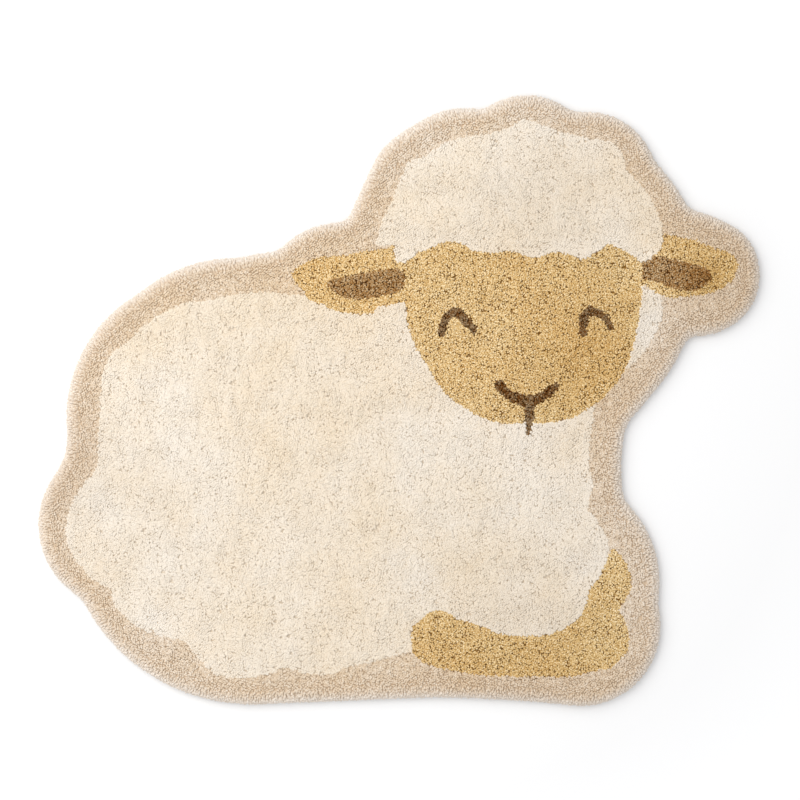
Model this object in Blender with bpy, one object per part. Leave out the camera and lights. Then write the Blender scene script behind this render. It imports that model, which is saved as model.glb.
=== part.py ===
"""Lamb-shaped nursery rug, tufted in cut pile: one flat solid of pile and backing, lying on its back.

Metres, +Z up. The origin is under the middle of the outline, on the surface that the rug lies on.
+X points to the lamb's chest and +Y to the top of its head, as the rug is seen from above.
"""

import math

import bmesh
import bpy
import numpy as np
from mathutils import Vector
from mathutils.geometry import delaunay_2d_cdt

MM = 0.001

# Driving dimensions
THICKNESS = 16.0 * MM        # surface below to the tips of the pile
CROWN_INSET = 13.0 * MM      # where the top has reached its full height, in from the widest line
OUTLINE_STEP = 14.0 * MM     # spacing of the points along the outline
OUTLINE_SOFTENING = 6.5 * MM # how far the pile rounds the notch between two lobes
FINE_STEP = OUTLINE_STEP / 4.0  # spacing of the points while the outline is worked out
BELL_REACH = 3.0             # how many softenings to each side the rounding takes in
TOP_STEP = 32.0 * MM         # spacing of the points on the pile's top
PILE_DIP = 1.4 * MM          # deepest dip between two soft lumps of the pile
LUMP_LENGTHS = (70.0 * MM, 240.0 * MM)  # shortest and longest distance from lump to lump
LUMP_WAVES = 9
SEED = 14
TOP_CLEARANCE = TOP_STEP / 2.0  # from the crown's line to the nearest point inside it
MERGE = 0.0001 * MM          # places closer than this count as one
CREASE_ANGLE = math.radians(50.0)  # edges sharper than this are shaded as edges

# The outline at its widest, clockwise from the side of the head. Each row starts an arc that runs to the
# next row's place; bulge is how far the arc's middle stands out of the straight line, minus for a hollow.
# start          x_mm   y_mm  bulge_mm
OUTLINE = (
    ("head_side", -84, 268, 0),
    ("crown_left", -36, 374, 4),
    ("crown_step", 24, 420, 12),
    ("crown_top", 125, 440, 26),
    ("crown_right", 262, 436, 29),
    ("temple", 386, 361, 5),
    ("ear_top", 438, 288, 6),
    ("ear_tip", 525, 250, 20),
    ("ear_under", 530, 135, 13),
    ("cheek", 438, 98, 3),
    ("throat", 395, 23, 0),
    ("chest", 341, -41, -5),
    ("knee", 338, -157, 22),
    ("hoof", 390, -315, 61),
    ("sole", 245, -467, -2),
    ("belly", 45, -457, 0),
    ("rump_under", -210, -467, 50),
    ("rump", -490, -305, 46),
    ("flank_dip", -528, -114, -5),
    ("back_low", -512, -55, 37),
    ("back_mid", -401, 161, 15),
    ("withers", -250, 213, 2),
    ("ear_back", -190, 223, 14),
)

# The rim's section, from the surface below up to the pile's top, in from the widest line.
# ring            inset_mm  height_mm
RIM = (
    ("foot", 6.0, 0.0),
    ("backing_edge", 5.0, 2.0),
    ("swell", 0.0, 8.0),
    ("shoulder", 2.5, 12.5),
    ("brow", 7.0, 15.0),
)

PILE_COLOUR = (0.80, 0.71, 0.57, 1.0)
INSIDE_ONLY = 1              # the fill's setting that leaves out triangles outside the line


def clear_scene():
    """Remove every object that is in the scene."""
    for old in list(bpy.data.objects):
        bpy.data.objects.remove(old, do_unlink=True)


def arc(start, end, bulge):
    """Points from start up to, but not with, end, on the circle whose sagitta over that chord is bulge."""
    chord = end - start
    length = np.hypot(*chord)
    along = chord / length
    outward = np.array((-along[1], along[0]))
    share = np.arange(0.0, 1.0, FINE_STEP / length)[:, None]
    if bulge == 0.0:
        return start + chord * share
    radius = (length ** 2 / 4.0 + bulge ** 2) / (2.0 * abs(bulge))
    half_angle = math.asin(length / (2.0 * radius))
    angle = half_angle * (2.0 * share - 1.0)
    rise = math.copysign(1.0, bulge) * (np.cos(angle) - math.cos(half_angle)) * radius
    run = length / 2.0 + radius * np.sin(angle)
    return start + along * run + outward * rise


def evenly_spaced(points, step):
    """The closed line through points, with new points at equal lengths of about step along it."""
    closed = np.vstack((points, points[:1]))
    reach = np.concatenate(((0.0,), np.cumsum(np.hypot(*np.diff(closed, axis=0).T))))
    count = int(round(reach[-1] / step))
    places = np.arange(count) * reach[-1] / count
    return np.column_stack([np.interp(places, reach, closed[:, axis]) for axis in (0, 1)])


def rounded(points, step, softening):
    """The closed line averaged along itself with a bell-shaped weight, which rounds its notches."""
    reach = int(BELL_REACH * softening / step)
    shifts = np.arange(-reach, reach + 1)
    weights = np.exp(-0.5 * (shifts * step / softening) ** 2)
    weights /= weights.sum()
    return sum(weight * np.roll(points, shift, axis=0) for weight, shift in zip(weights, shifts))


def outline():
    """The rug's widest line, rounded and centred on the origin."""
    places = [np.array((x, y)) * MM for _, x, y, _ in OUTLINE]
    bulges = [bulge * MM for _, _, _, bulge in OUTLINE]
    ends = places[1:] + places[:1]
    line = np.vstack([arc(*row) for row in zip(places, ends, bulges)])
    line = rounded(evenly_spaced(line, FINE_STEP), FINE_STEP, OUTLINE_SOFTENING)
    line = evenly_spaced(line, OUTLINE_STEP)
    return line - (line.min(axis=0) + line.max(axis=0)) / 2.0


def inset(line, distance):
    """The clockwise closed line moved inwards, each point along its own normal."""
    along = np.roll(line, -1, axis=0) - np.roll(line, 1, axis=0)
    along /= np.hypot(*along.T)[:, None]
    inward = np.column_stack((along[:, 1], -along[:, 0]))
    return line + inward * distance


def pile_height(places):
    """Height of the pile's top: full thickness less soft dips, a sum of waves in seeded directions."""
    draw = np.random.default_rng(SEED)
    headings = draw.uniform(0.0, math.tau, LUMP_WAVES)
    phases = draw.uniform(0.0, math.tau, LUMP_WAVES)
    lengths = draw.uniform(*LUMP_LENGTHS, LUMP_WAVES)
    waves = np.column_stack((np.cos(headings), np.sin(headings))) * (math.tau / lengths)[:, None]
    lumps = np.sin(places @ waves.T + phases).sum(axis=1)
    lumps = (lumps - lumps.min()) / (lumps.max() - lumps.min())
    return THICKNESS - PILE_DIP * (1.0 - lumps)


def inside(line, places):
    """True for each place that an upward ray leaves through an odd number of the line's edges."""
    x, y = places.T
    crossings = np.zeros(len(places), dtype=int)
    for (ax, ay), (bx, by) in zip(line, np.roll(line, -1, axis=0)):
        spans = (ax > x) != (bx > x)
        if spans.any():
            height = ay + (x[spans] - ax) * (by - ay) / (bx - ax)
            crossings[spans] += height > y[spans]
    return crossings % 2 == 1


def staggered_grid(line, step, clearance):
    """Places in offset rows inside line, at least about the clearance away from it."""
    low, high = line.min(axis=0), line.max(axis=0)
    row_gap = step * math.sqrt(3.0) / 2.0
    rows = np.arange(low[1], high[1], row_gap)
    columns = np.arange(low[0], high[0], step)
    x, y = np.meshgrid(columns, rows)
    x[1::2] += step / 2.0
    places = np.column_stack((x.ravel(), y.ravel()))
    return places[inside(inset(line, clearance), places)]


def filled(line, extra=()):
    """Triangles that fill the closed line, using the extra places inside it, as numbers of those places."""
    places = [Vector(place) for place in (*line, *extra)]
    edges = [(i, (i + 1) % len(line)) for i in range(len(line))]
    spots, _, faces, origins, _, _ = delaunay_2d_cdt(places, edges, [], INSIDE_ONLY, MERGE)
    order = [source[0] for source in origins]
    triangles = [tuple(order[corner] for corner in face) for face in faces]
    if len(spots) != len(places):
        raise RuntimeError("the fill merged or added points")
    return triangles


def rug_mesh(line):
    """Close the rim's rings with a flat underside and an uneven top."""
    crown = inset(line, CROWN_INSET)
    rings = [np.column_stack((inset(line, depth * MM), np.full(len(line), height * MM)))
             for _, depth, height in RIM]
    rings.append(np.column_stack((crown, pile_height(crown))))
    middle = staggered_grid(crown, TOP_STEP, TOP_CLEARANCE)
    top = np.column_stack((middle, pile_height(middle)))

    bm = bmesh.new()
    loops = [[bm.verts.new(place) for place in ring] for ring in rings]
    inner = [bm.verts.new(place) for place in top]
    count = len(line)
    for lower, upper in zip(loops, loops[1:]):
        for i in range(count):
            j = (i + 1) % count
            bm.faces.new((lower[i], lower[j], upper[j]))
            bm.faces.new((lower[i], upper[j], upper[i]))
    foot = inset(line, RIM[0][1] * MM)
    for corners in filled(foot):
        bm.faces.new([loops[0][corner] for corner in corners])
    cover = loops[-1] + inner
    for corners in filled(crown, middle):
        bm.faces.new([cover[corner] for corner in corners])
    bmesh.ops.recalc_face_normals(bm, faces=bm.faces)

    mesh = bpy.data.meshes.new("rug")
    bm.to_mesh(mesh)
    bm.free()
    mesh.shade_smooth()
    mesh.set_sharp_from_angle(angle=CREASE_ANGLE)
    return mesh


def pile_material():
    """Undyed cotton pile: matt and rough."""
    material = bpy.data.materials.new("cotton_pile")
    material.use_nodes = True
    shader = material.node_tree.nodes["Principled BSDF"]
    shader.inputs["Base Color"].default_value = PILE_COLOUR
    shader.inputs["Roughness"].default_value = 0.95
    shader.inputs["Metallic"].default_value = 0.0
    return material


def build():
    """Make the rug and link it into the scene."""
    clear_scene()
    mesh = rug_mesh(outline())
    mesh.materials.append(pile_material())
    rug = bpy.data.objects.new("rug", mesh)
    bpy.context.scene.collection.objects.link(rug)


build()
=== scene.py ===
"""A lamb-shaped nursery rug, tufted in five cotton yarns on canvas, lying flat and seen from straight above.

Every tuft of the cut pile has three cut ends, and each is a closed form that roots in the lower pile.
Metres, +Z up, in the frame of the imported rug: +X to the lamb's chest and +Y to the top of its head.
"""

import math
from typing import NamedTuple

import bpy
import numpy as np
from bpy.props import FloatProperty, FloatVectorProperty, IntProperty, PointerProperty
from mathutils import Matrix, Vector


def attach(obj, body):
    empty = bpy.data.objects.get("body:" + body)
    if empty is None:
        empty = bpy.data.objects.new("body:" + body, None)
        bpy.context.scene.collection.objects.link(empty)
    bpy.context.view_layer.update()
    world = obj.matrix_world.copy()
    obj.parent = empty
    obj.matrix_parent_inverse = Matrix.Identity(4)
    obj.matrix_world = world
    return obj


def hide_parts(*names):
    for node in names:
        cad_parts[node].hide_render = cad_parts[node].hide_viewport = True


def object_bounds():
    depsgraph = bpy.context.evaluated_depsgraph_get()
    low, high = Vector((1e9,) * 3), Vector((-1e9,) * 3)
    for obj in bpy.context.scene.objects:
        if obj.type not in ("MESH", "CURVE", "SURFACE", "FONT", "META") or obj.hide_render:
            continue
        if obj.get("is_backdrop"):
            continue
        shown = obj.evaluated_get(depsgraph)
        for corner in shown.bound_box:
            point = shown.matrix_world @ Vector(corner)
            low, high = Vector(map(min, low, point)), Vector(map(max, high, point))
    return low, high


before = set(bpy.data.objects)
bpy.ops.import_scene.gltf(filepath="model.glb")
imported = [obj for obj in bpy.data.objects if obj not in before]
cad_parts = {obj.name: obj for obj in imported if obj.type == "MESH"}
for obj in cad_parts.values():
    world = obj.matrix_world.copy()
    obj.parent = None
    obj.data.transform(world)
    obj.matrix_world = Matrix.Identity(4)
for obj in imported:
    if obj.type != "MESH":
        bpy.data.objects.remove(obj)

bl_info = {
    "name": "Lamb Rug",
    "version": (1, 0, 0),
    "blender": (4, 5, 0),
    "location": "3D View > Sidebar > Rug",
    "description": "Tufts a lamb-shaped nursery rug on its packed outline",
    "category": "Object",
}

MM = 0.001
NODE = "rug"
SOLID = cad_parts[NODE].data
CAD_LOW, CAD_HIGH = (np.array(corner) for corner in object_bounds())
PILE_TOP = float(CAD_HIGH[2])

# The colour fields, from the ground up: a later field covers the ones before it, and the border is what no
# field covers. Each is a closed line in millimetres, clockwise. A row (x, y, bulge) starts an arc to the next
# row's place, and bulge is how far the arc's middle stands out of the straight line, minus for a hollow.
FIELDS = (
    ("body", "cream", (
        (-465, -85, 0), (-460, 22, 4), (-441, 74, 1), (-415, 91, 2), (-388, 117, 3), (-326, 151, -2),
        (-285, 155, 7), (-155, 160, 0), (0, 200, 0), (305, 155, 0), (294, -15, 0), (286, -90, -2),
        (294, -125, 1), (284, -168, 6), (318, -228, 0), (305, -365, 0), (30, -385, 0), (15, -384, 1),
        (-90, -411, 0), (-102, -419, 2), (-145, -418, -1), (-180, -410, 9), (-285, -420, 3), (-330, -369, 0),
        (-345, -365, 12), (-441, -313, 1), (-444, -290, 15), (-515, -200, 9), (-470, -110, -2))),
    ("neck_lock", "cream", ((365, 175, 0), (395, 164, 8), (388, 102, 4), (343, 47, 0), (325, 85, 0))),
    ("ear_left", "tan", (
        (-168, 191, 4), (-143, 212, 3), (-94, 221, 0), (0, 237, 0), (20, 150, 0), (-38, 144, 0),
        (-44, 132, 1), (-80, 133, 2), (-123, 146, 4), (-150, 166, 2))),
    ("ear_left_inner", "brown", (
        (-114, 181, 1), (-94, 188, 0), (-22, 201, 0), (-6, 202, 1), (3, 195, 1), (6, 183, 1),
        (2, 170, 1), (-13, 162, 0), (-50, 155, 1), (-80, 155, 2), (-97, 163, 3))),
    ("ear_right", "tan", (
        (350, 254, 0), (402, 255, 0), (446, 246, 0), (492, 228, 1), (508, 221, 3), (513, 200, 3),
        (499, 177, 3), (457, 161, 2), (406, 159, 2), (371, 177, 0))),
    ("ear_right_inner", "brown", (
        (350, 210, 0), (383, 223, 1), (406, 218, 0), (446, 208, 0), (463, 204, 2), (475, 192, 2),
        (469, 179, 2), (457, 171, 1), (437, 167, 1), (412, 171, 1), (400, 179, 0), (366, 186, 0))),
    ("head_cap", "cream", (
        (-40, 237, 3), (-14, 306, 1), (5, 352, 1), (14, 368, 0), (28, 368, 1), (72, 397, 2), (130, 405, -3),
        (185, 430, 1), (245, 410, -1), (320, 395, 3), (340, 370, 1), (342, 354, -1), (362, 335, 1),
        (374, 318, 4), (399, 262, 1), (400, 240, 1), (392, 228, 0), (377, 214, 0), (368, 211, 0),
        (245, 155, 0), (45, 155, 0), (12, 211, 0), (-9, 211, 0), (-10, 236, 0))),
    ("face", "tan", (
        (4, 211, 0), (25, 226, 1), (44, 234, 1), (70, 242, 1), (91, 242, 0), (107, 229, -1), (146, 226, 3),
        (182, 225, -1), (203, 218, 0), (222, 222, 5), (253, 223, 1), (276, 215, -1), (302, 229, 0),
        (317, 240, 1), (345, 226, 1), (369, 210, 0), (369, 170, 4), (350, 65, 10), (280, -17, 8),
        (195, -35, 9), (100, -15, 8), (38, 55, 3), (12, 107, 1), (5, 150, 0))),
    ("legs", "tan", (
        (15, -382, 1), (16, -350, 2), (45, -325, 3), (68, -324, 1), (82, -333, 0), (120, -345, 0),
        (148, -358, -1), (206, -361, -1), (242, -354, -3), (277, -327, -2), (285, -290, 1), (300, -276, 0),
        (322, -228, 3), (345, -252, 4), (350, -291, 2), (332, -322, 3), (346, -352, 3), (345, -385, 7),
        (303, -414, 2), (243, -424, 0), (150, -423, 1), (75, -413, 2), (37, -404, 3))),
)

# The strokes of the face: an open line of such rows, its width in millimetres at the start, halfway and at
# the end, and how light its tufts are between 0 and 1.
STROKES = (
    ("eye_left", ((61, 101, 1), (66, 120, 3), (83, 135, 2), (111, 107, 0)), (12, 15, 12), 0.62),
    ("eye_right", ((279, 101, 1), (280, 122, 6), (297, 135, 5), (319, 111, 0)), (12, 15, 10), 0.72),
    ("mouth", ((150, 24, -6), (194, -2, -3), (237, 21, 0)), (15, 18, 12), 0.49),
    ("nose_stem", ((196, -2, 0), (195, -52, 0)), (16, 16, 6), 0.75),
)

# Wide soft patches of painted light and shade, for pile that leans away from the light or towards it: the
# middle and the reach in millimetres, how much lighter the yarn looks there, and how far it goes from the
# whiter to the yellower tint.
# patch         x     y  reach  light warmth
PAINTED_LIGHT_AND_TINT_PATCHES = (
    ("crown", 120, 425, 130, 0.07, 0.0),
    ("head", 190, 330, 120, -0.08, 0.0),
    ("ear", 490, 190, 110, -0.09, 0.0),
    ("ear_root", 390, 200, 32, 0.14, 0.0),
    ("ear_tip", 463, 190, 26, -0.12, 0.0),
    ("chin", 230, 20, 75, -0.06, 0.2),
    ("cheek", 310, 100, 90, -0.08, 0.1),
    ("neck_lock", 378, 110, 45, 0.045, -0.7),
    ("back", -150, 150, 160, 0.0, 0.6),
    ("flank", -400, -180, 130, -0.02, -0.4),
    ("rump", -520, -110, 90, -0.07, 0.0),
    ("chest", 330, -240, 110, 0.0, -0.4),
    ("legs", 190, -390, 150, -0.07, 0.2),
)


class Yarn(NamedTuple):
    """How one yarn's pile is cut and looks."""

    slot: str        # material slot of the record; not used
    full: float      # radius of a cut end, as a share of the pitch
    uneven: float    # how far tips stand apart in height, mm
    stray: float     # how far a tip leans at random, mm
    sparse: float    # share of ends that sit low
    bare: float      # share of tufts that sit so low that they leave a dark dot
    closed: float    # height up to which the pile is closed, mm
    gap: float       # brightness of the closed pile, as a share of the yarn's: painted shade between the tufts
    depth: float     # how much darker an end is at its root than at its tip: painted shade down in the pile
    speckle: float   # how far tufts differ in tone
    fibre: float     # how far fibres differ in tone
    blunt: float     # how far along a cut end is widest


YARNS = {
    #              slot            full  uneven stray sparse bare   closed gap  depth speckle fibre blunt
    "border": Yarn("taupe_border", 0.42, 0.40, 0.7, 0.020, 0.004, 12.6, 0.86, 0.17, 0.09, 0.11, 0.89),
    "cream": Yarn("cream_wool", 0.46, 0.20, 0.45, 0.014, 0.006, 12.8, 0.93, 0.04, 0.03, 0.030, 0.91),
    "tan": Yarn("tan_face", 0.40, 0.50, 0.7, 0.020, 0.005, 10.8, 0.46, 0.48, 0.08, 0.42, 0.88),
    "brown": Yarn("brown_ear", 0.38, 0.80, 0.8, 0.040, 0.008, 10.2, 0.34, 0.60, 0.20, 0.48, 0.88),
    "dark": Yarn("dark_stroke", 0.38, 0.80, 0.8, 0.040, 0.010, 10.2, 0.34, 0.55, 0.42, 0.58, 0.88),
}

# The pieces of each yarn's pile: the name, the fields, and where a field is shared out, the axis and the
# stretch of it in metres in which the piece's ends root.
PIECES = {
    "border": (("border_flank", ("border",), 1, -1.0, 0.0), ("border_head", ("border",), 1, 0.0, 1.0)),
    "cream": (("wool_rump", ("body",), 0, -1.0, -0.255), ("wool_back", ("body",), 0, -0.255, 0.0),
              ("wool_chest", ("body",), 0, 0.0, 1.0), ("wool_head", ("head_cap",)),
              ("wool_neck_lock", ("neck_lock",))),
    "tan": tuple((name, (name,)) for name in ("face", "ear_left", "ear_right", "legs")),
    "brown": tuple((name, (name,)) for name in ("ear_left_inner", "ear_right_inner")),
    "dark": (("eye_left", ("eye_left",)), ("eye_right", ("eye_right",)), ("mouth", ("mouth", "nose_stem"))),
}

# Section of the rim, over which the outermost ends fan out, in millimetres: how far inside the backing's edge
# and how high an end roots, and how far outside that edge (minus for inside) and how high its tip is.
# row         root_in root_up tip_out tip_up
FAN = (
    ("crown", 21.0, 4.0, -9.0, 15.6),
    ("brow", 19.0, 4.0, -0.5, 15.2),
    ("shoulder", 16.0, 4.0, 5.5, 12.8),
    ("swell", 13.0, 4.0, 8.6, 8.8),
    ("cheek", 11.0, 3.5, 8.4, 5.4),
    ("chin", 9.0, 3.0, 6.8, 3.0),
)

# Lines
LINE_STEP = 3.0 * MM  # spacing of the points along a field's line
LINE_SOFTENING = 2.5 * MM  # how far the yarn rounds a field's corners
EDGE_SOFTENING = 4.5 * MM  # how far the outline is evened out between the solid's points
BELL_REACH = 3.0  # how many softenings to each side the rounding takes in
CAP_POINTS = 7  # round a stroke's end
CHUNK = 2048  # places handled at once where each meets a whole line
MERGE = 0.01 * MM  # corners of the solid closer than this count as one
UNDERSIDE = 0.1 * MM  # corners lower than this are on its underside
TOP_FROM = 0.85  # share of the pile's height from which they are on its top
TOP_REACH = 18.0 * MM  # how far that top is evened out
MOTIF_MIDDLE = np.array((3.6, 0.9)) * MM  # where the tables' zero lies from the middle of the outline

# Closed lower pile and backing
WALL = 2.0 * MM  # the backing cloth with its glue
OVERHANG = 6.5 * MM  # how far the closed pile stands over the backing's edge
ROLL = 9.0 * MM  # how far in from there it is at full height
ROLL_HEIGHTS = (4.5 * MM, 10.0 * MM)  # its lower and upper side at the edge
SUNK = 0.1 * MM  # how far it is let into the backing
BASE_CELL = 9.0 * MM  # its grid
BACKING_CELL = 14.0 * MM  # and the backing's

# Upright cut ends
SIDES = 5  # of an end
ENDS = 3  # cut ends to a tuft
ROWS_TURN = math.radians(11.0)  # of the tufts' rows from the axes
FIELD_START = 15.0  # how far inside the backing's edge the upright tufts begin, mm
SPLAY_REACH = 9.0 * MM  # how far in from there they still lean outwards
RAGGED = 0.5  # how far an end can be off when it takes its field's yarn, mm
ROOTED = 5.0  # how deep an end goes into the closed pile, mm
LEAN_LENGTHS = (16.0 * MM, 100.0 * MM)  # of the waves in which tips lean together
LEAN_WAVES = 16
SWELL_LENGTHS = (25.0 * MM, 90.0 * MM)  # of the waves in which ends are fuller or thinner
SWELL_WAVES = 8
SWELL = 0.05  # by that share
OWN_LEAN = 0.4  # how far an end leans apart from its tuft, as a share of the yarn's stray
LOW_ENDS = (2.0, 4.0)  # how far a low end sits under the top, mm
LOW_TUFTS = (2.0, 5.0)  # and a low tuft
END_WIDTHS = (0.88, 1.12)  # an end's radius, as a share of its yarn's
CORNER_WIDTHS = (0.86, 1.14)  # and a corner's, as a share of its end's
CORNER_SLIP = 0.2 * MM  # how far a corner is off its ring along the end
STEEP = 0.8  # rise per length from which an end's ring is laid out from x, not z
RING_AT, ROOT_AT = 0.6, 0.97  # where the ring and the root lie in an end's flat cell, out of 1
FIELD_TONE = 0.5  # how light a field's tufts are between 0 and 1
TUFT_TONE = 0.6  # how far tones differ from tuft to tuft
END_TONE = 0.20  # and from end to end

# Ends of the rim's fan
FAN_STEPS = (2.15 * MM, 4.2 * MM)  # their spacing along the edge and over the fan's section
FAN_JITTER = 0.4  # share of that spacing by which an end is off its place along the edge
FAN_SLIP = 0.9 * MM  # how far its tip is off along the edge,
FAN_OUT = 0.4 * MM  # outwards
FAN_UP = 0.3 * MM  # and upwards
FAN_FULL = 0.85  # its radius, as a share of the border's,
FAN_WIDTHS = (0.85, 1.15)  # and how far that differs
FAN_BLUNT = 0.92  # how far along it is widest
FAN_TONES = (0.2, 0.8)

# Looks
TRAITS = ("tone", "fade", "light", "warmth")  # numbers that every end takes along into its mesh
YELLOWER = (0.975, 0.937, 0.872)  # a yarn's two tints, as shares of its colour
WHITER = (1.003, 1.025, 1.065)
CLOUD_CONTRAST = 2.6  # how sharply the clouds go from one tint to the other
DEEPER = 2.3  # how much deeper in hue a yarn is in the shade between the tufts
PALEST = -0.12  # and how far that also makes lit fibres paler
RIM_TINT = (1.04, 1.11, 1.24)  # painted light: how much paler and less yellow the border is at the outermost ends, whose yarn sides lean out
RIM_GAP = 0.92  # brightness of the closed pile at the rim, as a share of the ends' painted rim light there
PALE_FROM = 5.0 * MM  # how far outside the backing's edge the border is at its palest
PALE_REACH = 7.0 * MM  # and how far in from there that dies away
THREAD = 1.5 * MM  # spacing of the canvas's threads

# Stage
FLOOR_REACH = 8.0  # half the side of the floor
FLOOR_DROP = 0.2 * MM  # how far the floor is under the rug
GREY_TO = 0.62  # distance from the rug's middle from which the floor gets whiter, out of its painted shade
LAMP_SIZE = 2.6
LAMP_COLOUR = (1.0, 0.975, 0.94)
LAMPS = {"key": (-1.35, 1.15, 1.8), "fill": (-1.4, -1.1, 1.7)}
SENSOR = 36.0  # width of the camera's sensor, mm
CAMERA_AT = (1.3 * MM, 0.9 * MM)  # the camera's place over the rug


class RugPile(bpy.types.PropertyGroup):
    """Sizes of the cut pile."""

    pitch: FloatProperty(
        name="Tuft pitch", description="Distance from tuft to tuft", default=5.15 * MM, unit="LENGTH")
    sway: FloatProperty(
        name="Sway", description="How far tips lean together in patches", default=0.7 * MM, unit="LENGTH")
    splay: FloatProperty(
        name="Splay", description="How far tips next to the rim's fan lean outwards", default=5.0 * MM,
        unit="LENGTH")
    jitter: FloatProperty(
        name="Jitter", description="Random share of the pitch by which a cut end is off its place",
        default=0.11, subtype="FACTOR")
    seed: IntProperty(name="Seed", description="Start of the random draws", default=7)


class RugYarns(bpy.types.PropertyGroup):
    """Linear colours of the yarns and the cloth."""

    cream: FloatVectorProperty(
        name="Cream", description="Body, head and neck lock", default=(0.827, 0.738, 0.621), subtype="COLOR")
    border: FloatVectorProperty(
        name="Taupe", description="Border band", default=(0.755, 0.630, 0.490), subtype="COLOR")
    tan: FloatVectorProperty(
        name="Tan", description="Face, ears and legs", default=(0.79, 0.598, 0.323), subtype="COLOR")
    brown: FloatVectorProperty(
        name="Brown", description="Inside of the ears", default=(0.48, 0.319, 0.160), subtype="COLOR")
    dark: FloatVectorProperty(
        name="Dark brown", description="Eyes, nose and mouth", default=(0.25, 0.150, 0.068),
        subtype="COLOR")
    canvas: FloatVectorProperty(
        name="Canvas", description="Backing cloth", default=(0.62, 0.53, 0.40), subtype="COLOR")


class RugStage(bpy.types.PropertyGroup):
    """Floor, light and camera."""

    eye_height: FloatProperty(
        name="Camera height", description="Camera above the floor", default=3.2, unit="LENGTH")
    view_width: FloatProperty(
        name="View width", description="Width that the picture takes in at the pile's top",
        default=1.2248, unit="LENGTH")
    key_energy: FloatProperty(
        name="Key light", description="Power of the large soft light at the upper left", default=39.4,
        unit="POWER")
    fill_energy: FloatProperty(
        name="Fill light", description="Power of the second light, at the lower left", default=9.5,
        unit="POWER")
    sky: FloatProperty(
        name="Sky light", description="Strength of the even light from all round", default=0.80)


# Shader maths --------------------

class Number:
    """One number in a material's node tree. Python's operators on it add Math nodes."""

    def __init__(self, surface, socket):
        self.surface = surface
        self.socket = socket

    def maths(self, operation, *values):
        """A Math node of that operation on these values."""
        node = self.surface.node("ShaderNodeMath", {"operation": operation}, dict(enumerate(values)))
        return Number(self.surface, node.outputs[0])

    def __add__(self, other):
        return self.maths("ADD", self, other)

    def __sub__(self, other):
        return self.maths("SUBTRACT", self, other)

    def __rsub__(self, other):
        return self.maths("SUBTRACT", other, self)

    def __mul__(self, other):
        return self.maths("MULTIPLY", self, other)

    def clamped(self):
        """The number held between 0 and 1."""
        return self.maths("MINIMUM", self.maths("MAXIMUM", self, 0.0), 1.0)

    __radd__ = __add__
    __rmul__ = __mul__


class Surface:
    """A material under construction: its tree, its Principled BSDF, and short ways to add nodes."""

    def __init__(self, name, roughness):
        self.material = bpy.data.materials.new(name)
        self.material.use_nodes = True
        self.tree = self.material.node_tree
        self.shader = self.tree.nodes["Principled BSDF"]
        self.shader.inputs["Roughness"].default_value = roughness
        self.shader.inputs["Specular IOR Level"].default_value = 0.0

    def set(self, socket, value):
        """Put a value on a socket, or link it."""
        if isinstance(value, Number):
            value = value.socket
        if isinstance(value, bpy.types.NodeSocket):
            self.tree.links.new(value, socket)
        else:
            socket.default_value = value

    def node(self, kind, settings=None, values=None):
        """A node of that kind, with its settings made first and then its sockets filled."""
        node = self.tree.nodes.new(kind)
        for name, setting in (settings or {}).items():
            setattr(node, name, setting)
        for name, value in (values or {}).items():
            self.set(node.inputs[name], value)
        return node

    def place(self, scale=(1.0, 1.0, 1.0)):
        """Object coordinates, stretched by scale."""
        coordinates = self.node("ShaderNodeTexCoord").outputs["Object"]
        return self.node("ShaderNodeMapping", None, {"Vector": coordinates, "Scale": scale}).outputs[0]

    def noise(self, place, scale, detail=2.0, roughness=0.5):
        """Smooth noise from 0 to 1, with scale lumps to the metre."""
        values = {"Vector": place, "Scale": scale, "Detail": detail, "Roughness": roughness}
        return Number(self, self.node("ShaderNodeTexNoise", None, values).outputs["Fac"])

    def attribute(self, name):
        """A number that the mesh carries at each vertex."""
        return Number(self, self.node("ShaderNodeAttribute", {"attribute_name": name}).outputs["Fac"])

    def blend(self, share, one, other):
        """The colour that goes from one to other as share goes from 0 to 1."""
        node = self.node("ShaderNodeMix", {"data_type": "RGBA"})
        for place, value in ((0, share), (6, one), (7, other)):
            self.set(node.inputs[place], value)
        return node.outputs[2]

    def scaled(self, colour, factor):
        """A colour made lighter or darker by a factor."""
        if not isinstance(colour, bpy.types.NodeSocket):
            colour = colour[:3]
        values = {0: colour, "Scale": factor}
        return self.node("ShaderNodeVectorMath", {"operation": "SCALE"}, values).outputs[0]

    def shaded(self, colour, red, share):
        """What the function shaded works out, with a colour of that red part and a share that vary."""
        gamma = share.maths("MAXIMUM", 1.0 - share, PALEST) * DEEPER + 1.0
        deep = self.node("ShaderNodeGamma", None, {0: self.scaled(colour, 1.0 / red), 1: gamma}).outputs[0]
        return self.scaled(deep, share * red)

    def finish(self, colour, height=None, relief=0.0):
        """Feed the shader its colour, and bump of that relief in metres from a height of 0 to 1."""
        self.set(self.shader.inputs["Base Color"], colour)
        if height is not None:
            bump = self.node("ShaderNodeBump", None, {"Distance": relief, "Height": height})
            self.set(self.shader.inputs["Normal"], bump.outputs[0])
        return self.material


def tinted(colour, red, green, blue):
    """A colour with each part scaled."""
    return (colour[0] * red, colour[1] * green, colour[2] * blue, 1.0)


def shaded(colour, share):
    """A colour at that share of its brightness, and deeper in hue, as light turns from fibre to fibre: its
    parts over its red part, to a power that grows as the share falls, times red part and share."""
    colour = np.array(colour[:3])
    deep = colour[0] * (colour / colour[0]) ** (1.0 + DEEPER * (1.0 - share)) * share
    return (*deep.tolist(), 1.0)


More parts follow.
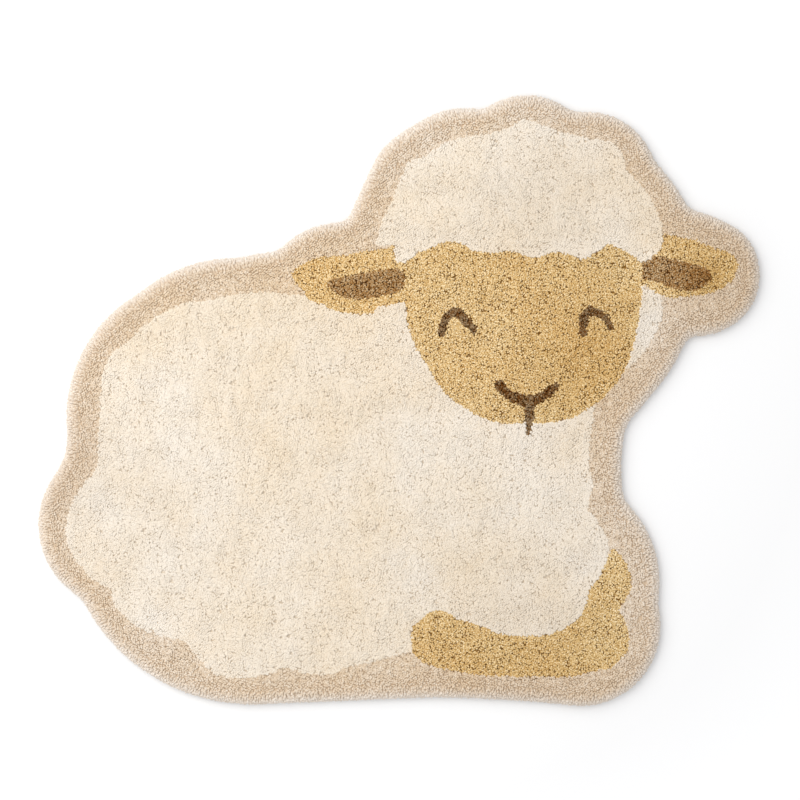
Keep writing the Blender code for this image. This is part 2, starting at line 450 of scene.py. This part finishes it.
def yarn_material(name, colour, yarn):
    """Cut cotton: each end has its own tone, shows fibres, and has painted shade towards its root, darker and
    deeper in hue.

    Wide clouds of a yellower and a whiter tint lie over the field, wide patches add painted light and shade,
    and painted light makes the ends at the rim paler.
    """
    surface = Surface(name, roughness=0.95)
    cloud = surface.noise(surface.place(), scale=7.0, detail=5.0, roughness=0.6)
    fibre = surface.noise(surface.place((1.0, 1.0, 0.35)), scale=400.0, roughness=0.6)
    rise, tone, fade, light, warmth = (surface.attribute(trait) for trait in ("rise", *TRAITS))
    whiter = (cloud - 0.5) * CLOUD_CONTRAST + 0.5 - warmth
    tint = surface.blend(whiter.clamped(), tinted(colour, *YELLOWER), tinted(colour, *WHITER))
    # Painted light: the ends at the rim are paler and less yellow.
    tint = surface.blend(fade, tint, tinted(colour, *RIM_TINT))
    share = (1.0 + (tone - 0.5) * (2.0 * yarn.speckle)) * (1.0 + (fibre - 0.5) * (4.0 * yarn.fibre))
    # Painted light and shade: the patches' light, and painted shade towards each end's root, left out at the
    # rim.
    share = share * (1.0 + light) * (1.0 - ((1.0 - rise) * 2.0).clamped() * (1.0 - fade) * yarn.depth)
    return surface.finish(surface.shaded(tint, colour[0], share), fibre, relief=0.6 * MM)


def base_material():
    """The closed lower pile: each yarn's colour in deep shade, from the mesh."""
    surface = Surface("pile_base", roughness=1.0)
    colour = surface.node("ShaderNodeAttribute", {"attribute_name": "yarn"}).outputs["Color"]
    fibre = surface.noise(surface.place(), scale=420.0, roughness=0.6)
    return surface.finish(surface.scaled(colour, 0.60 + fibre * 0.8), fibre, relief=1.0 * MM)


def canvas_material(colour):
    """Plain-woven canvas: the product of two sine waves lifts every other crossing, with slubs along x."""
    surface = Surface("backing_canvas", roughness=0.9)
    parts = surface.node("ShaderNodeSeparateXYZ", None, {0: surface.place()})
    along, across = (Number(surface, parts.outputs[axis]) * (math.pi / THREAD) for axis in (0, 1))
    weave = along.maths("SINE", along) * across.maths("SINE", across) * 0.5 + 0.5
    slub = surface.noise(surface.place((0.06, 1.0, 1.0)), scale=700.0, detail=3.0)
    shade = 0.78 + weave * 0.20 + slub * 0.20
    return surface.finish(surface.scaled(colour, shade), weave, relief=0.5 * MM)


def floor_material():
    """Plain matt paper white, with painted shade round the rug: a touch greyer there than further out, which
    deepens its soft shadow.
    """
    surface = Surface("floor_paper", roughness=0.85)
    length = surface.node("ShaderNodeVectorMath", {"operation": "LENGTH"}, {0: surface.place()})
    share = ((Number(surface, length.outputs["Value"]) - GREY_TO) * 4.0).clamped()
    return surface.finish(surface.scaled((1.0, 1.0, 1.0, 1.0), 0.90 + share * 0.085))


# Lines --------------------

def arc(start, end, bulge):
    """Points from start up to, but not with, end, on the circle whose sagitta over that chord is bulge."""
    chord = end - start
    length = np.hypot(*chord)
    along = chord / length
    outward = np.array((-along[1], along[0]))
    share = np.arange(0.0, 1.0, LINE_STEP / length)[:, None]
    if bulge == 0.0:
        return start + chord * share
    radius = (length ** 2 / 4.0 + bulge ** 2) / (2.0 * abs(bulge))
    half_angle = math.asin(length / (2.0 * radius))
    angle = half_angle * (2.0 * share - 1.0)
    rise = math.copysign(1.0, bulge) * (np.cos(angle) - math.cos(half_angle)) * radius
    return start + along * (length / 2.0 + radius * np.sin(angle)) + outward * rise


def arcs(rows, closed=True):
    """A table's arcs joined end to end, in metres."""
    places = [np.array(row[:2]) * MM + MOTIF_MIDDLE for row in rows]
    ends = places[1:] + (places[:1] if closed else [])
    line = [arc(start, end, row[2] * MM) for start, end, row in zip(places, ends, rows)]
    return np.vstack(line if closed else line + [places[-1:]])


def evenly_spaced(line, closed=True):
    """The line with new points at equal lengths of about LINE_STEP along it."""
    whole = np.vstack((line, line[:1])) if closed else line
    reach = np.concatenate(((0.0,), np.cumsum(np.hypot(*np.diff(whole, axis=0).T))))
    count = int(round(reach[-1] / LINE_STEP))
    places = np.linspace(0.0, reach[-1], count + 1)
    places = places[:-1] if closed else places
    return np.column_stack([np.interp(places, reach, whole[:, axis]) for axis in (0, 1)])


def rounded(line, softening):
    """The closed line, evenly spaced and averaged along itself with a bell-shaped weight."""
    line = evenly_spaced(line)
    reach = int(BELL_REACH * softening / LINE_STEP)
    shifts = np.arange(-reach, reach + 1)
    weights = np.exp(-0.5 * (shifts * LINE_STEP / softening) ** 2)
    weights /= weights.sum()
    return sum(weight * np.roll(line, shift, axis=0) for weight, shift in zip(weights, shifts))


def to_left(steps):
    """Unit vectors a quarter turn to the left of the steps."""
    return np.column_stack((-steps[:, 1], steps[:, 0])) / np.hypot(*steps.T)[:, None]


def outwards(line):
    """Unit vectors out of a clockwise closed line, one at each point."""
    return to_left(np.roll(line, -1, axis=0) - np.roll(line, 1, axis=0))


def around(angles):
    """Unit vectors at those angles."""
    return np.column_stack((np.cos(angles), np.sin(angles)))


def area_of(line):
    """The area inside the closed line, minus where it runs clockwise."""
    return 0.5 * (line[:, 0] * np.roll(line[:, 1], -1) - line[:, 1] * np.roll(line[:, 0], -1)).sum()


def inside(line, places):
    """True for each place that an upward ray leaves through an odd number of the line's edges."""
    found = np.zeros(len(places), dtype=bool)
    near = np.flatnonzero(((places > line.min(axis=0)) & (places < line.max(axis=0))).all(axis=1))
    x, y = places[near].T
    odd = np.zeros(len(near), dtype=bool)
    for (ax, ay), (bx, by) in zip(line, np.roll(line, -1, axis=0)):
        spans = np.flatnonzero((ax > x) != (bx > x))
        height = ay + (x[spans] - ax) * (by - ay) / (bx - ax) if len(spans) else 0.0
        odd[spans] ^= height > y[spans]
    found[near] = odd
    return found


def nearest(points, places):
    """For each place, the index of the nearest of points."""
    found = []
    for start in range(0, len(places), CHUNK):
        part = places[start:start + CHUNK]
        found.append(((part[:, None] - points[None]) ** 2).sum(axis=2).argmin(axis=1))
    return np.concatenate(found) if found else np.zeros(0, dtype=int)


def corners_of(mesh):
    """The places of a mesh's vertices."""
    corners = np.empty(len(mesh.vertices) * 3)
    mesh.vertices.foreach_get("co", corners)
    return corners.reshape(-1, 3)


def rim_line(mesh):
    """The edge of the solid's underside, clockwise from above: the edges that only one triangle there has."""
    corners = corners_of(mesh)
    faces = np.empty(len(mesh.polygons) * 3, dtype=int)
    mesh.polygons.foreach_get("vertices", faces)
    faces = faces.reshape(-1, 3)
    low = (corners[faces, 2] < UNDERSIDE).all(axis=1)
    keys, merged = np.unique(np.round(corners / MERGE).astype(int), axis=0, return_inverse=True)
    faces = merged.ravel()[faces[low]]
    edges = np.vstack((faces[:, :2], faces[:, 1:], faces[:, ::2][:, ::-1]))
    inner = {tuple(edge) for edge in edges[:, ::-1].tolist()}
    following = {start: end for start, end in edges.tolist() if (start, end) not in inner}
    walk = [min(following)]
    while following[walk[-1]] != walk[0]:
        walk.append(following[walk[-1]])
    line = keys[walk, :2] * MERGE
    return line if area_of(line) < 0.0 else line[::-1]


def backing_line():
    """The backing's edge with even, close points."""
    return rounded(rim_line(SOLID), EDGE_SOFTENING)


def stroke_line(rows, widths):
    """The closed line round a stroke with round ends, of the widths at its start, halfway and at its end."""
    line = evenly_spaced(arcs(rows, closed=False), closed=False)
    along = np.gradient(line, axis=0)
    left = to_left(along)
    along /= np.hypot(*along.T)[:, None]
    half = np.interp(np.linspace(0.0, 1.0, len(line)), (0.0, 0.5, 1.0), widths)[:, None] * MM / 2.0
    turn = np.linspace(0.0, math.pi, CAP_POINTS)[1:-1, None]
    nose = line[-1] + half[-1] * (left[-1] * np.cos(turn) + along[-1] * np.sin(turn))
    tail = line[0] - half[0] * (left[0] * np.cos(turn) + along[0] * np.sin(turn))
    return np.vstack((line + left * half, nose, (line - left * half)[::-1], tail))


def field_lines():
    """Every field's (name, yarn, closed line), from the ground up, the strokes last."""
    fields = [(name, yarn, rounded(arcs(rows), LINE_SOFTENING)) for name, yarn, rows in FIELDS]
    strokes = [(name, "dark", stroke_line(rows, widths)) for name, rows, widths, _ in STROKES]
    return fields + strokes


def field_at(places, fields):
    """Number of the last field that holds each place, from 1, or 0 for the border."""
    found = np.zeros(len(places), dtype=int)
    for number, (_, _, line) in enumerate(fields, start=1):
        found[inside(line, places)] = number
    return found


# Pile --------------------

def waves(places, lengths, count, draw):
    """A smooth random field: the sum of sine waves in random directions, over the root of their number."""
    headings, phases = draw.uniform(0.0, math.tau, (2, count))
    turns = math.tau / draw.uniform(*lengths, count)
    directions = around(headings) * turns[:, None]
    return np.sin(places @ directions.T + phases).sum(axis=1) / math.sqrt(count)


def pile_top(places):
    """Height of the solid's top at each place: the bell-weighted mean of its points nearby."""
    points = np.unique(np.round(corners_of(SOLID), 6), axis=0)
    points = points[points[:, 2] > PILE_TOP * TOP_FROM]
    found = np.empty(len(places))
    for start in range(0, len(places), CHUNK):
        part = slice(start, start + CHUNK)
        apart = ((places[part, None] - points[None, :, :2]) ** 2).sum(axis=2)
        weights = np.exp(-0.5 * (apart - apart.min(axis=1)[:, None]) / TOP_REACH ** 2)
        found[part] = weights @ points[:, 2] / weights.sum(axis=1)
    return found


def end_places(line, pitch, jitter, draw):
    """Roots of the upright cut ends, and the number of the tuft that each belongs to.

    The tufts stand in offset rows, a little turned from the axes, and have their ends on a triangle round
    their middle, a third of the pitch away, so that the ends stand in even offset rows of their own. Every
    tuft and every end is moved off its place by a random share of the pitch.
    """
    low, high = line.min(axis=0), line.max(axis=0)
    half = np.hypot(*(high - low)) / 2.0
    x, y = np.meshgrid(np.arange(-half, half, pitch), np.arange(-half, half, pitch * math.sqrt(3.0) / 2.0))
    x[1::2] += pitch / 2.0
    tufts = np.column_stack((x.ravel(), y.ravel()))
    tufts += draw.uniform(-jitter, jitter, tufts.shape) * pitch
    turn = math.tau * (np.arange(ENDS) + 0.5) / ENDS
    ends = tufts[:, None] + around(turn) * pitch / 3.0
    ends = ends.reshape(-1, 2)
    ends += draw.uniform(-jitter, jitter, ends.shape) * pitch
    cos, sin = math.cos(ROWS_TURN), math.sin(ROWS_TURN)
    ends = ends @ np.array(((cos, sin), (-sin, cos))) + (low + high) / 2.0
    owners = np.repeat(np.arange(len(tufts)), ENDS)
    used = inside(line - outwards(line) * FIELD_START * MM, ends)
    return ends[used], owners[used]


def painted_rim_light_share(outside):
    """How far the border goes over into its painted rim light, from the distance outside the backing's edge.
    """
    return np.exp(np.minimum(outside - PALE_FROM, 0.0) / PALE_REACH)


def patches(places):
    """How much painted light or shade and how much warmer tint each place has, a sum of bell shapes over the
    patches' table.
    """
    rows = np.array([row[1:] for row in PAINTED_LIGHT_AND_TINT_PATCHES], dtype=float)
    apart = np.hypot(*(places[:, None] - (rows[:, :2] * MM + MOTIF_MIDDLE)).transpose(2, 0, 1))
    return (np.exp(-(apart / (rows[:, 2] * MM)) ** 2) @ rows[:, 3:]).T


class CutEnds:
    """All cut ends of the pile: their roots, tips, radii, widest places, fields and traits, as arrays."""

    def __init__(self, pile):
        draw = np.random.default_rng(pile.seed)
        edge = backing_line()
        self.seed = pile.seed
        self.fields = field_lines()
        self.names = ("border", *(name for name, _, _ in self.fields))
        self.yarns = ("border", *(yarn for _, yarn, _ in self.fields))
        places, owners = end_places(edge, pile.pitch, pile.jitter, draw)
        self.field = field_at(places + draw.normal(0.0, RAGGED * MM, places.shape), self.fields)
        full, uneven, stray, sparse, bare, closed, self.widest = self.of_yarns(
            "full", "uneven", "stray", "sparse", "bare", "closed", "blunt")
        tone, luck, *lean = draw.uniform(size=(4, owners.max() + 1))[:, owners]
        out, depth = self.from_edge(places, edge)
        lean = (np.column_stack(lean) - 0.5) * 2.0 * stray[:, None] * MM
        lean += np.column_stack([waves(places, LEAN_LENGTHS, LEAN_WAVES, draw) for _ in (0, 1)]) * pile.sway
        lean += out * (pile.splay * np.exp(-(depth - FIELD_START * MM) / SPLAY_REACH))[:, None]
        lean += draw.normal(0.0, OWN_LEAN, lean.shape) * stray[:, None] * MM
        top = pile_top(places) - np.abs(draw.normal(0.0, 1.0, len(places))) * uneven * MM
        top -= (draw.uniform(size=len(places)) < sparse) * draw.uniform(*LOW_ENDS, len(places)) * MM
        top -= (luck < bare) * draw.uniform(*LOW_TUFTS, len(places)) * MM
        self.root = np.column_stack((places, (closed - ROOTED) * MM))
        self.tip = np.column_stack((places + lean, top))
        self.radius = full * pile.pitch * draw.uniform(*END_WIDTHS, len(places))
        self.radius *= 1.0 + SWELL * waves(places, SWELL_LENGTHS, SWELL_WAVES, draw)
        self.tone = tone
        self.add_fan(edge, pile, draw)
        self.tone = self.lightness() + (self.tone - 0.5) * TUFT_TONE
        self.tone = np.clip(self.tone + draw.normal(0.0, END_TONE, len(self.tone)), 0.0, 1.0)
        # Share of painted rim light at each end.
        self.fade = painted_rim_light_share(-self.from_edge(self.tip[:, :2], edge)[1])
        # Painted light and shade from the patches, and their shift of tint.
        self.light, self.warmth = patches(self.tip[:, :2])

    def of_yarns(self, *columns, field=None):
        """Columns of the yarn table for each end's field."""
        yarns = [YARNS[yarn] for yarn in self.yarns]
        field = self.field if field is None else field
        return [np.array([getattr(yarn, column) for yarn in yarns])[field] for column in columns]

    def lightness(self):
        """How light each end's field is, from the strokes' table."""
        light = {name: row[-1] for name, *row in STROKES}
        return np.array([light.get(name, FIELD_TONE) for name in self.names])[self.field]

    def from_edge(self, places, edge):
        """For each place, the way out at the nearest point of the backing's edge, and the depth inside it."""
        close = nearest(edge, places)
        out = outwards(edge)[close]
        return out, ((edge[close] - places) * out).sum(axis=1)

    def add_fan(self, edge, pile, draw):
        """Add the ends that fan out over the rim.

        They stand evenly along the edge in rows over the fan's section, each moved off its place at random.
        """
        reach = np.hypot(*(np.roll(edge, -1, axis=0) - edge).T).sum()
        section = np.array([row[1:] for row in FAN]) * MM
        along = np.concatenate(((0.0,), np.cumsum(np.hypot(*np.diff(section[:, 2:], axis=0).T))))
        columns, rows = int(reach / FAN_STEPS[0]), int(along[-1] / FAN_STEPS[1])
        spot, row = np.meshgrid(np.arange(columns), np.arange(rows))
        spot = spot + 0.5 * (row % 2) + draw.uniform(-FAN_JITTER, FAN_JITTER, spot.shape)
        spot = spot.ravel() / columns * len(edge)
        row = (row + draw.uniform(0.0, 1.0, row.shape)).ravel() / rows * along[-1]
        wide = np.arange(len(edge) + 1)
        base, out = (
            np.column_stack([np.interp(spot % len(edge), wide, [*column, column[0]]) for column in part.T])
            for part in (edge, outwards(edge)))
        root_in, root_up, tip_out, tip_up = (np.interp(row, along, column) for column in section.T)
        count = len(row)
        slip = draw.normal(0.0, FAN_SLIP, count)[:, None] * np.column_stack((-out[:, 1], out[:, 0]))
        tip_out += draw.normal(0.0, FAN_OUT, count)
        tip_up += draw.normal(0.0, FAN_UP, count)
        full = YARNS["border"].full * FAN_FULL * pile.pitch
        more = {"root": np.column_stack((base - out * root_in[:, None], root_up)),
                "tip": np.column_stack((base + out * tip_out[:, None] + slip, tip_up)),
                "radius": full * draw.uniform(*FAN_WIDTHS, count),
                "widest": np.full(count, FAN_BLUNT),
                "field": np.zeros(count, dtype=int),
                "tone": draw.uniform(*FAN_TONES, count)}
        for name, values in more.items():
            setattr(self, name, np.concatenate((getattr(self, name), values)))


laid = {}  # the cut ends by the sizes that they were worked out for


def cut_ends(pile):
    """The rug's cut ends, worked out once for each set of sizes."""
    key = (pile.pitch, pile.sway, pile.splay, pile.jitter, pile.seed)
    if key not in laid:
        laid[key] = CutEnds(pile)
    return laid[key]


# Meshes --------------------

def new_piece(name, points, faces, material):
    """An object at the origin from arrays of points and of equal-sided faces."""
    mesh = bpy.data.meshes.new(name)
    mesh.vertices.add(len(points))
    mesh.vertices.foreach_set("co", points.astype(np.float32).ravel())
    mesh.loops.add(faces.size)
    mesh.loops.foreach_set("vertex_index", faces.astype(np.int32).ravel())
    mesh.polygons.add(len(faces))
    mesh.polygons.foreach_set("loop_start", np.arange(0, faces.size, faces.shape[1], dtype=np.int32))
    mesh.update(calc_edges=True)
    mesh.validate()
    mesh.materials.append(material)
    piece = bpy.data.objects.new(name, mesh)
    bpy.context.scene.collection.objects.link(piece)
    return piece


def carry(piece, name, values):
    """Give the mesh a number at each vertex."""
    piece.data.attributes.new(name, "FLOAT", "POINT").data.foreach_set("value", values.astype(np.float32))


def end_map(count):
    """Flat places of every end's triangle corners, a cell to each end.

    The tip is the middle of the ring's corners, and the root is the outer corner of every triangle round
    them.
    """
    turn = math.tau * np.arange(SIDES) / SIDES
    here, after = (RING_AT * around(turn + step) for step in (0.0, math.tau / SIDES))
    root = ROOT_AT * around(turn + math.pi / SIDES)
    star = np.concatenate((np.stack((root, after, here), axis=1),
                           np.stack((here, after, np.zeros((SIDES, 2))), axis=1)))
    across = int(math.ceil(math.sqrt(count)))
    cells = np.column_stack((np.arange(count) % across, np.arange(count) // across)) + 0.5
    return (cells[:, None, None] + star[None] * 0.5) / across


def end_piece(name, ends, chosen, material):
    """One mesh of the chosen cut ends.

    An end is two cones on a common ring: a long one down to the root and a blunt one up to the tip. The ring
    is a circle square to the line from root to tip, with every corner's radius off by a random share.
    """
    draw = np.random.default_rng((ends.seed, *map(ord, name)))
    root, tip, radius = ends.root[chosen], ends.tip[chosen], ends.radius[chosen]
    count = len(root)
    reach = tip - root
    axis = reach / np.linalg.norm(reach, axis=1)[:, None]
    helper = np.where(np.abs(axis[:, 2:]) > STEEP, (1.0, 0.0, 0.0), (0.0, 0.0, 1.0))
    across = np.cross(helper, axis)
    across /= np.linalg.norm(across, axis=1)[:, None]
    beside = np.cross(axis, across)
    spin = draw.uniform(0.0, math.tau, count)[:, None] + math.tau * np.arange(SIDES) / SIDES
    ring = across[:, None] * np.cos(spin)[:, :, None] + beside[:, None] * np.sin(spin)[:, :, None]
    ring *= (radius[:, None] * draw.uniform(*CORNER_WIDTHS, (count, SIDES)))[:, :, None]
    ring += axis[:, None] * draw.normal(0.0, CORNER_SLIP, (count, SIDES))[:, :, None]
    ring += (root + reach * ends.widest[chosen, None])[:, None]
    points = np.concatenate((root[:, None], ring, tip[:, None]), axis=1)
    side = 1 + np.arange(SIDES)
    after = np.roll(side, -1)
    faces = np.vstack((np.column_stack((np.zeros(SIDES, dtype=int), after, side)),
                       np.column_stack((side, after, np.full(SIDES, SIDES + 1)))))
    faces = faces[None] + (np.arange(count) * points.shape[1])[:, None, None]
    piece = new_piece(name, points.reshape(-1, 3), faces.reshape(-1, 3), material)
    piece.data.shade_smooth()
    rise = np.zeros(points.shape[:2])
    rise[:, side] = ends.widest[chosen, None]
    rise[:, -1] = 1.0
    carry(piece, "rise", rise.ravel())
    for trait in TRAITS:
        carry(piece, trait, np.repeat(getattr(ends, trait)[chosen], points.shape[1]))
    piece.data.uv_layers.new(name="OFBake").data.foreach_set("uv", end_map(count).astype(np.float32).ravel())
    return piece


def slab(name, line, cell, below, above, material):
    """A closed slab over the square cells whose middles lie inside the line.

    Its corners are a grid in x and y, and those at the edge slide onto the nearest point of the line. Below
    and above are functions of each corner's place and of its depth inside the line.
    """
    low = line.min(axis=0) - cell
    count = np.ceil((line.max(axis=0) + cell - low) / cell).astype(int)
    x, y = (low[axis] + cell * np.arange(count[axis] + 1) for axis in (0, 1))
    places = np.stack(np.meshgrid(x, y, indexing="ij"), axis=2)
    middles = places[:-1, :-1] + cell / 2.0
    used = inside(line, middles.reshape(-1, 2)).reshape(count)
    padded = np.pad(used, 1)
    corners = (padded[:-1, :-1], padded[1:, :-1], padded[1:, 1:], padded[:-1, 1:])
    touching = sum(part.astype(int) for part in corners)
    if ((touching == 2) & (corners[0] == corners[2])).any():
        raise RuntimeError(f"{name}: two cells meet only at a corner, so another cell size is needed")
    edge = (touching > 0) & (touching < 4)
    places[edge] = line[nearest(line, places[edge])]
    kept = touching > 0
    number = np.cumsum(kept).reshape(kept.shape) - 1
    spots = places[kept]
    depth = np.hypot(*(spots - line[nearest(line, spots)]).T) * ~edge[kept]
    total = len(spots)
    points = np.vstack((np.column_stack((spots, below(spots, depth))),
                        np.column_stack((spots, above(spots, depth)))))
    i, j = np.nonzero(used)
    ring = np.stack((number[i, j], number[i + 1, j], number[i + 1, j + 1], number[i, j + 1]), axis=1)
    walls = []
    for side, (di, dj) in enumerate(((0, -1), (1, 0), (0, 1), (-1, 0))):
        bare = ~padded[i + 1 + di, j + 1 + dj]
        start, end = ring[bare, side], ring[bare, (side + 1) % 4]
        walls.append(np.column_stack((start, end, end + total, start + total)))
    faces = np.vstack((ring[:, ::-1], ring + total, *walls))
    return new_piece(name, points, faces, material), spots, depth


def of_piece(pile, fields, axis=0, low=-1.0, high=1.0):
    """True for the ends of those fields whose roots lie from low up to high along the axis, in metres."""
    numbers = [number for number, name in enumerate(pile.names) if name in fields]
    along = pile.root[:, axis]
    return np.isin(pile.field, numbers) & (along >= low) & (along < high)


class TuftYarn:
    """Shared part of the operators that tuft one yarn, piece by piece."""

    bl_options = {"REGISTER", "UNDO"}

    def execute(self, context):
        pile = cut_ends(context.scene.rug_pile)
        yarn = YARNS[self.yarn]
        material = yarn_material(f"yarn_{self.yarn}", getattr(context.scene.rug_yarns, self.yarn), yarn)
        for name, *where in PIECES[self.yarn]:
            piece = end_piece(f"pile_{name}", pile, of_piece(pile, *where), material)
            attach(piece, "root")
        return {"FINISHED"}


class RUG_OT_tuft_border(TuftYarn, bpy.types.Operator):
    """Tuft the taupe border and roll it over the rim"""

    bl_idname = "rug.tuft_border"
    bl_label = "Tuft the Border"
    yarn = "border"


class RUG_OT_tuft_wool(TuftYarn, bpy.types.Operator):
    """Tuft the cream wool of the body, the head and the neck lock"""

    bl_idname = "rug.tuft_wool"
    bl_label = "Tuft the Wool"
    yarn = "cream"


class RUG_OT_tuft_face(TuftYarn, bpy.types.Operator):
    """Tuft the tan face, ears and legs"""

    bl_idname = "rug.tuft_face"
    bl_label = "Tuft the Face, Ears and Legs"
    yarn = "tan"


class RUG_OT_tuft_inner_ears(TuftYarn, bpy.types.Operator):
    """Tuft the brown insides of the ears"""

    bl_idname = "rug.tuft_inner_ears"
    bl_label = "Tuft the Inner Ears"
    yarn = "brown"


class RUG_OT_tuft_strokes(TuftYarn, bpy.types.Operator):
    """Tuft the dark eyes, nose and mouth"""

    bl_idname = "rug.tuft_strokes"
    bl_label = "Tuft the Eyes and Mouth"
    yarn = "dark"


class RUG_OT_lay_base(bpy.types.Operator):
    """Lay the closed lower pile, which shows only in the gaps between tufts"""

    bl_idname = "rug.lay_base"
    bl_label = "Lay the Pile Base"
    bl_options = {"REGISTER", "UNDO"}

    def execute(self, context):
        pile = cut_ends(context.scene.rug_pile)
        line = backing_line()
        line = line + outwards(line) * OVERHANG

        def roll(depth):
            """A quarter circle, from 0 at the line to 1 from ROLL inside it."""
            return np.sqrt(1.0 - (1.0 - np.minimum(depth, ROLL) / ROLL) ** 2)

        def below(spots, depth):
            return ROLL_HEIGHTS[0] + (WALL - SUNK - ROLL_HEIGHTS[0]) * roll(depth)

        def above(spots, depth):
            closed, = pile.of_yarns("closed", field=field_at(spots, pile.fields))
            return ROLL_HEIGHTS[1] + (closed * MM - ROLL_HEIGHTS[1]) * roll(depth)

        piece, spots, depth = slab("pile_base", line, BASE_CELL, below, above, base_material())
        colours = [getattr(context.scene.rug_yarns, yarn) for yarn in pile.yarns]
        # Painted shade: the closed pile takes each yarn's colour darkened to its gap share and deepened in
        # hue.
        deep = np.array([shaded(colour, YARNS[yarn].gap) for yarn, colour in zip(pile.yarns, colours)])
        # Painted rim light on the closed pile too, towards the rim.
        rim = np.array(tinted(colours[0], *RIM_TINT)) * RIM_GAP
        fade = painted_rim_light_share(OVERHANG - depth)[:, None]
        colours = deep[field_at(spots, pile.fields)] * (1.0 - fade) + rim * fade
        colours[:, 3] = 1.0
        layer = piece.data.attributes.new("yarn", "FLOAT_COLOR", "POINT")
        layer.data.foreach_set("color", np.tile(colours, (2, 1)).astype(np.float32).ravel())
        piece.data.shade_smooth()
        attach(piece, "root")
        return {"FINISHED"}


class RUG_OT_lay_backing(bpy.types.Operator):
    bl_idname = "rug.lay_backing"
    bl_label = "Lay the Backing"
    bl_options = {"REGISTER", "UNDO"}

    def execute(self, context):
        line = backing_line()
        material = canvas_material(context.scene.rug_yarns.canvas)

        def below(spots, depth):
            return np.zeros(len(spots))

        def above(spots, depth):
            return np.full(len(spots), WALL)

        piece, *_ = slab("backing_canvas", line, BACKING_CELL, below, above, material)
        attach(piece, "root")
        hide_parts(NODE)
        area = abs(float(area_of(line)))
        return {"FINISHED"}


class RUG_OT_set_stage(bpy.types.Operator):
    """Set the pale floor, the soft light and the camera straight above the rug"""

    bl_idname = "rug.set_stage"
    bl_label = "Set the Stage"
    bl_options = {"REGISTER", "UNDO"}

    def execute(self, context):
        stage = context.scene.rug_stage
        corners = np.array(((-1, -1), (1, -1), (1, 1), (-1, 1))) * FLOOR_REACH
        points = np.column_stack((corners, np.full(4, -FLOOR_DROP)))
        floor = new_piece("floor", points, np.array(((0, 1, 2, 3),)), floor_material())
        floor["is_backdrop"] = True

        world = bpy.data.worlds.new("studio")
        world.use_nodes = True
        light = world.node_tree.nodes["Background"].inputs
        light["Color"].default_value = (0.97, 0.98, 1.0, 1.0)
        light["Strength"].default_value = stage.sky
        context.scene.world = world

        for name, place in LAMPS.items():
            light = bpy.data.lights.new(name, "AREA")
            light.shape = "DISK"
            light.size = LAMP_SIZE
            light.energy = getattr(stage, f"{name}_energy")
            light.color = LAMP_COLOUR
            lamp = bpy.data.objects.new(name, light)
            lamp.location = place
            lamp.rotation_mode = "QUATERNION"
            lamp.rotation_quaternion = (-lamp.location).to_track_quat("-Z", "Y")
            context.scene.collection.objects.link(lamp)

        lens = bpy.data.cameras.new("camera")
        lens.sensor_width = SENSOR
        lens.lens = lens.sensor_width * (stage.eye_height - PILE_TOP) / stage.view_width
        lens.clip_end = 50.0
        camera = bpy.data.objects.new("camera", lens)
        camera.location = Vector((*CAMERA_AT, stage.eye_height))
        context.scene.collection.objects.link(camera)
        context.scene.camera = camera
        context.scene.view_settings.view_transform = "Standard"
        return {"FINISHED"}


class RUG_PT_panel(bpy.types.Panel):
    """The rug's operators and sizes"""

    bl_idname = "RUG_PT_panel"
    bl_label = "Lamb Rug"
    bl_space_type = "VIEW_3D"
    bl_region_type = "UI"
    bl_category = "Rug"

    def draw(self, context):
        for group in (context.scene.rug_pile, context.scene.rug_yarns, context.scene.rug_stage):
            box = self.layout.box()
            for name in group.__annotations__:
                box.prop(group, name)
        for operator in OPERATORS:
            self.layout.operator(operator.bl_idname)


OPERATORS = (RUG_OT_tuft_border, RUG_OT_tuft_wool, RUG_OT_tuft_face, RUG_OT_tuft_inner_ears,
             RUG_OT_tuft_strokes, RUG_OT_lay_base, RUG_OT_lay_backing, RUG_OT_set_stage)
GROUPS = {"rug_pile": RugPile, "rug_yarns": RugYarns, "rug_stage": RugStage}


def register():
    for group in (*GROUPS.values(), *OPERATORS, RUG_PT_panel):
        bpy.utils.register_class(group)
    for name, group in GROUPS.items():
        setattr(bpy.types.Scene, name, PointerProperty(type=group))


def unregister():
    for name in GROUPS:
        delattr(bpy.types.Scene, name)
    for group in (RUG_PT_panel, *OPERATORS[::-1], *GROUPS.values()):
        bpy.utils.unregister_class(group)


def main():
    """Register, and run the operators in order."""
    register()
    for operator in OPERATORS:
        group, _, action = operator.bl_idname.partition(".")
        getattr(getattr(bpy.ops, group), action)()


if __name__ == "__main__":
    main()
